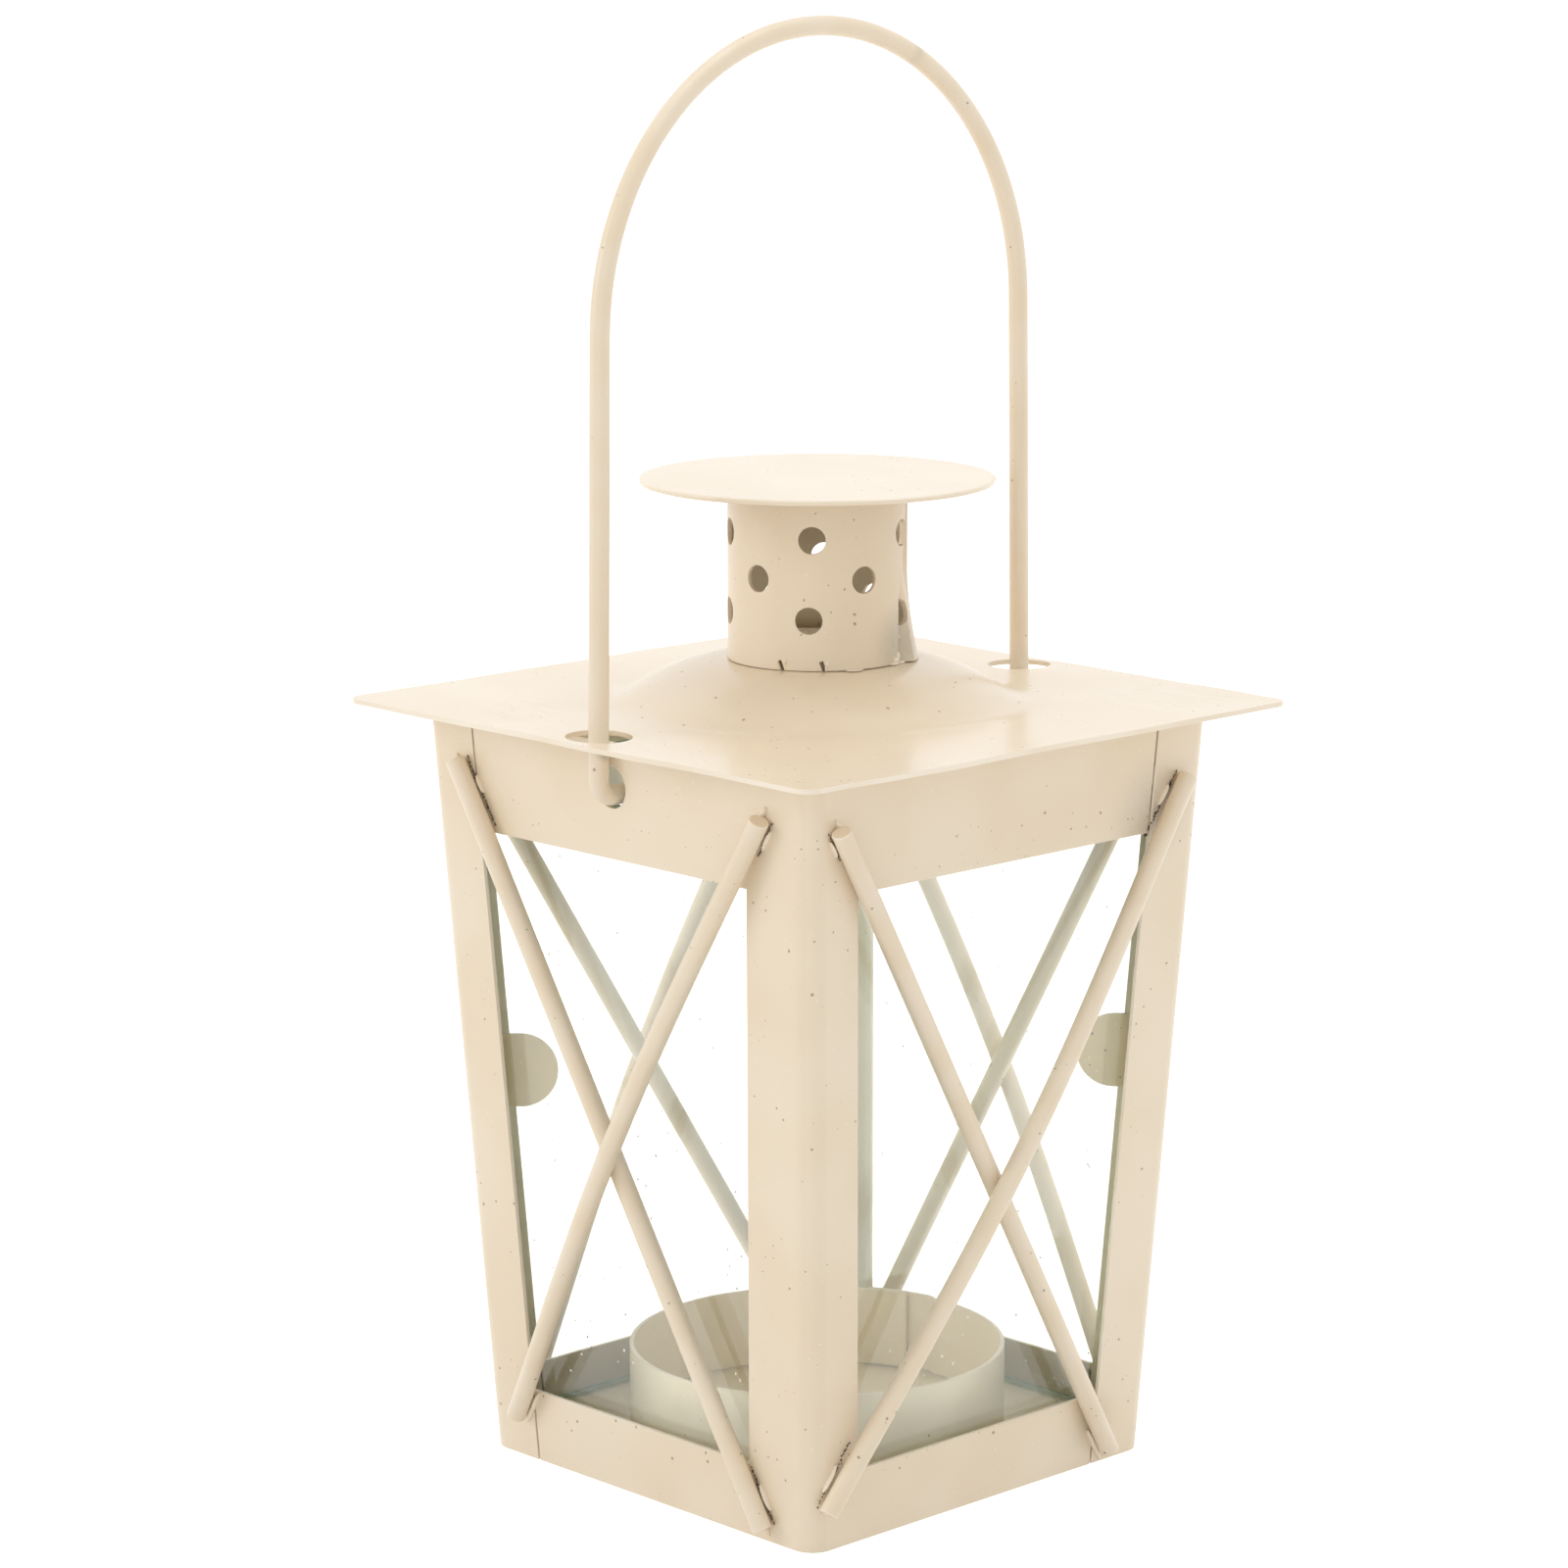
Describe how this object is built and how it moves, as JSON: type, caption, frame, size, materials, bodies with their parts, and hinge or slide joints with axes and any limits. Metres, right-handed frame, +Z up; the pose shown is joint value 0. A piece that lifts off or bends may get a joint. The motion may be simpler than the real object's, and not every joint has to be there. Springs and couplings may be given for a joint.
{
  "type": "candle lantern",
  "caption": "Tapered square sheet-steel tealight lantern with glazed sides, crossed wire braces, a lift-up roof with vented chimney and cap, and a wire bail.",
  "frame": {"origin": "centre of the base, on the surface the lantern stands on", "axes": "+Z up; the four sides face -Y, +X, +Y and -X, and the bail stands in the YZ plane"},
  "size_m": [0.074, 0.074, 0.1611],
  "materials": {
    "painted_sheet": "satin",
    "painted_wire": "satin",
    "window_glass": "polished"
  },
  "bodies": {
    "body": {"front_corner_sheet": "painted_sheet", "back_corner_sheet": "painted_sheet", "left_corner_post": "painted_sheet", "right_corner_post": "painted_sheet", "brace_under_0": "painted_wire", "brace_over_0": "painted_wire", "glass_pane_0": "window_glass", "brace_under_1": "painted_wire", "brace_over_1": "painted_wire", "glass_pane_1": "window_glass", "brace_under_2": "painted_wire", "brace_over_2": "painted_wire", "glass_pane_2": "window_glass", "brace_under_3": "painted_wire", "brace_over_3": "painted_wire", "glass_pane_3": "window_glass", "glass_clip_left": "painted_sheet", "glass_clip_right": "painted_sheet", "base_tray": "painted_sheet", "candle_ring": "painted_sheet"},
    "roof": {"roof_plate": "painted_sheet", "chimney_tube": "painted_sheet", "cap_disc": "painted_sheet"},
    "bail": {"bail_handle": "painted_wire"}
  },
  "joints": [
    {"name": "roof_lift", "type": "slide", "parent": "body", "child": "roof", "axis": [0, 0, 1], "range_m": [0, 0.04]},
    {"name": "bail_swing", "type": "hinge", "parent": "body", "child": "bail", "pos_m": [0, 0, 0.0797], "axis": [0, 1, 0], "range_deg": [-2.8, 2.8]}
  ]
}
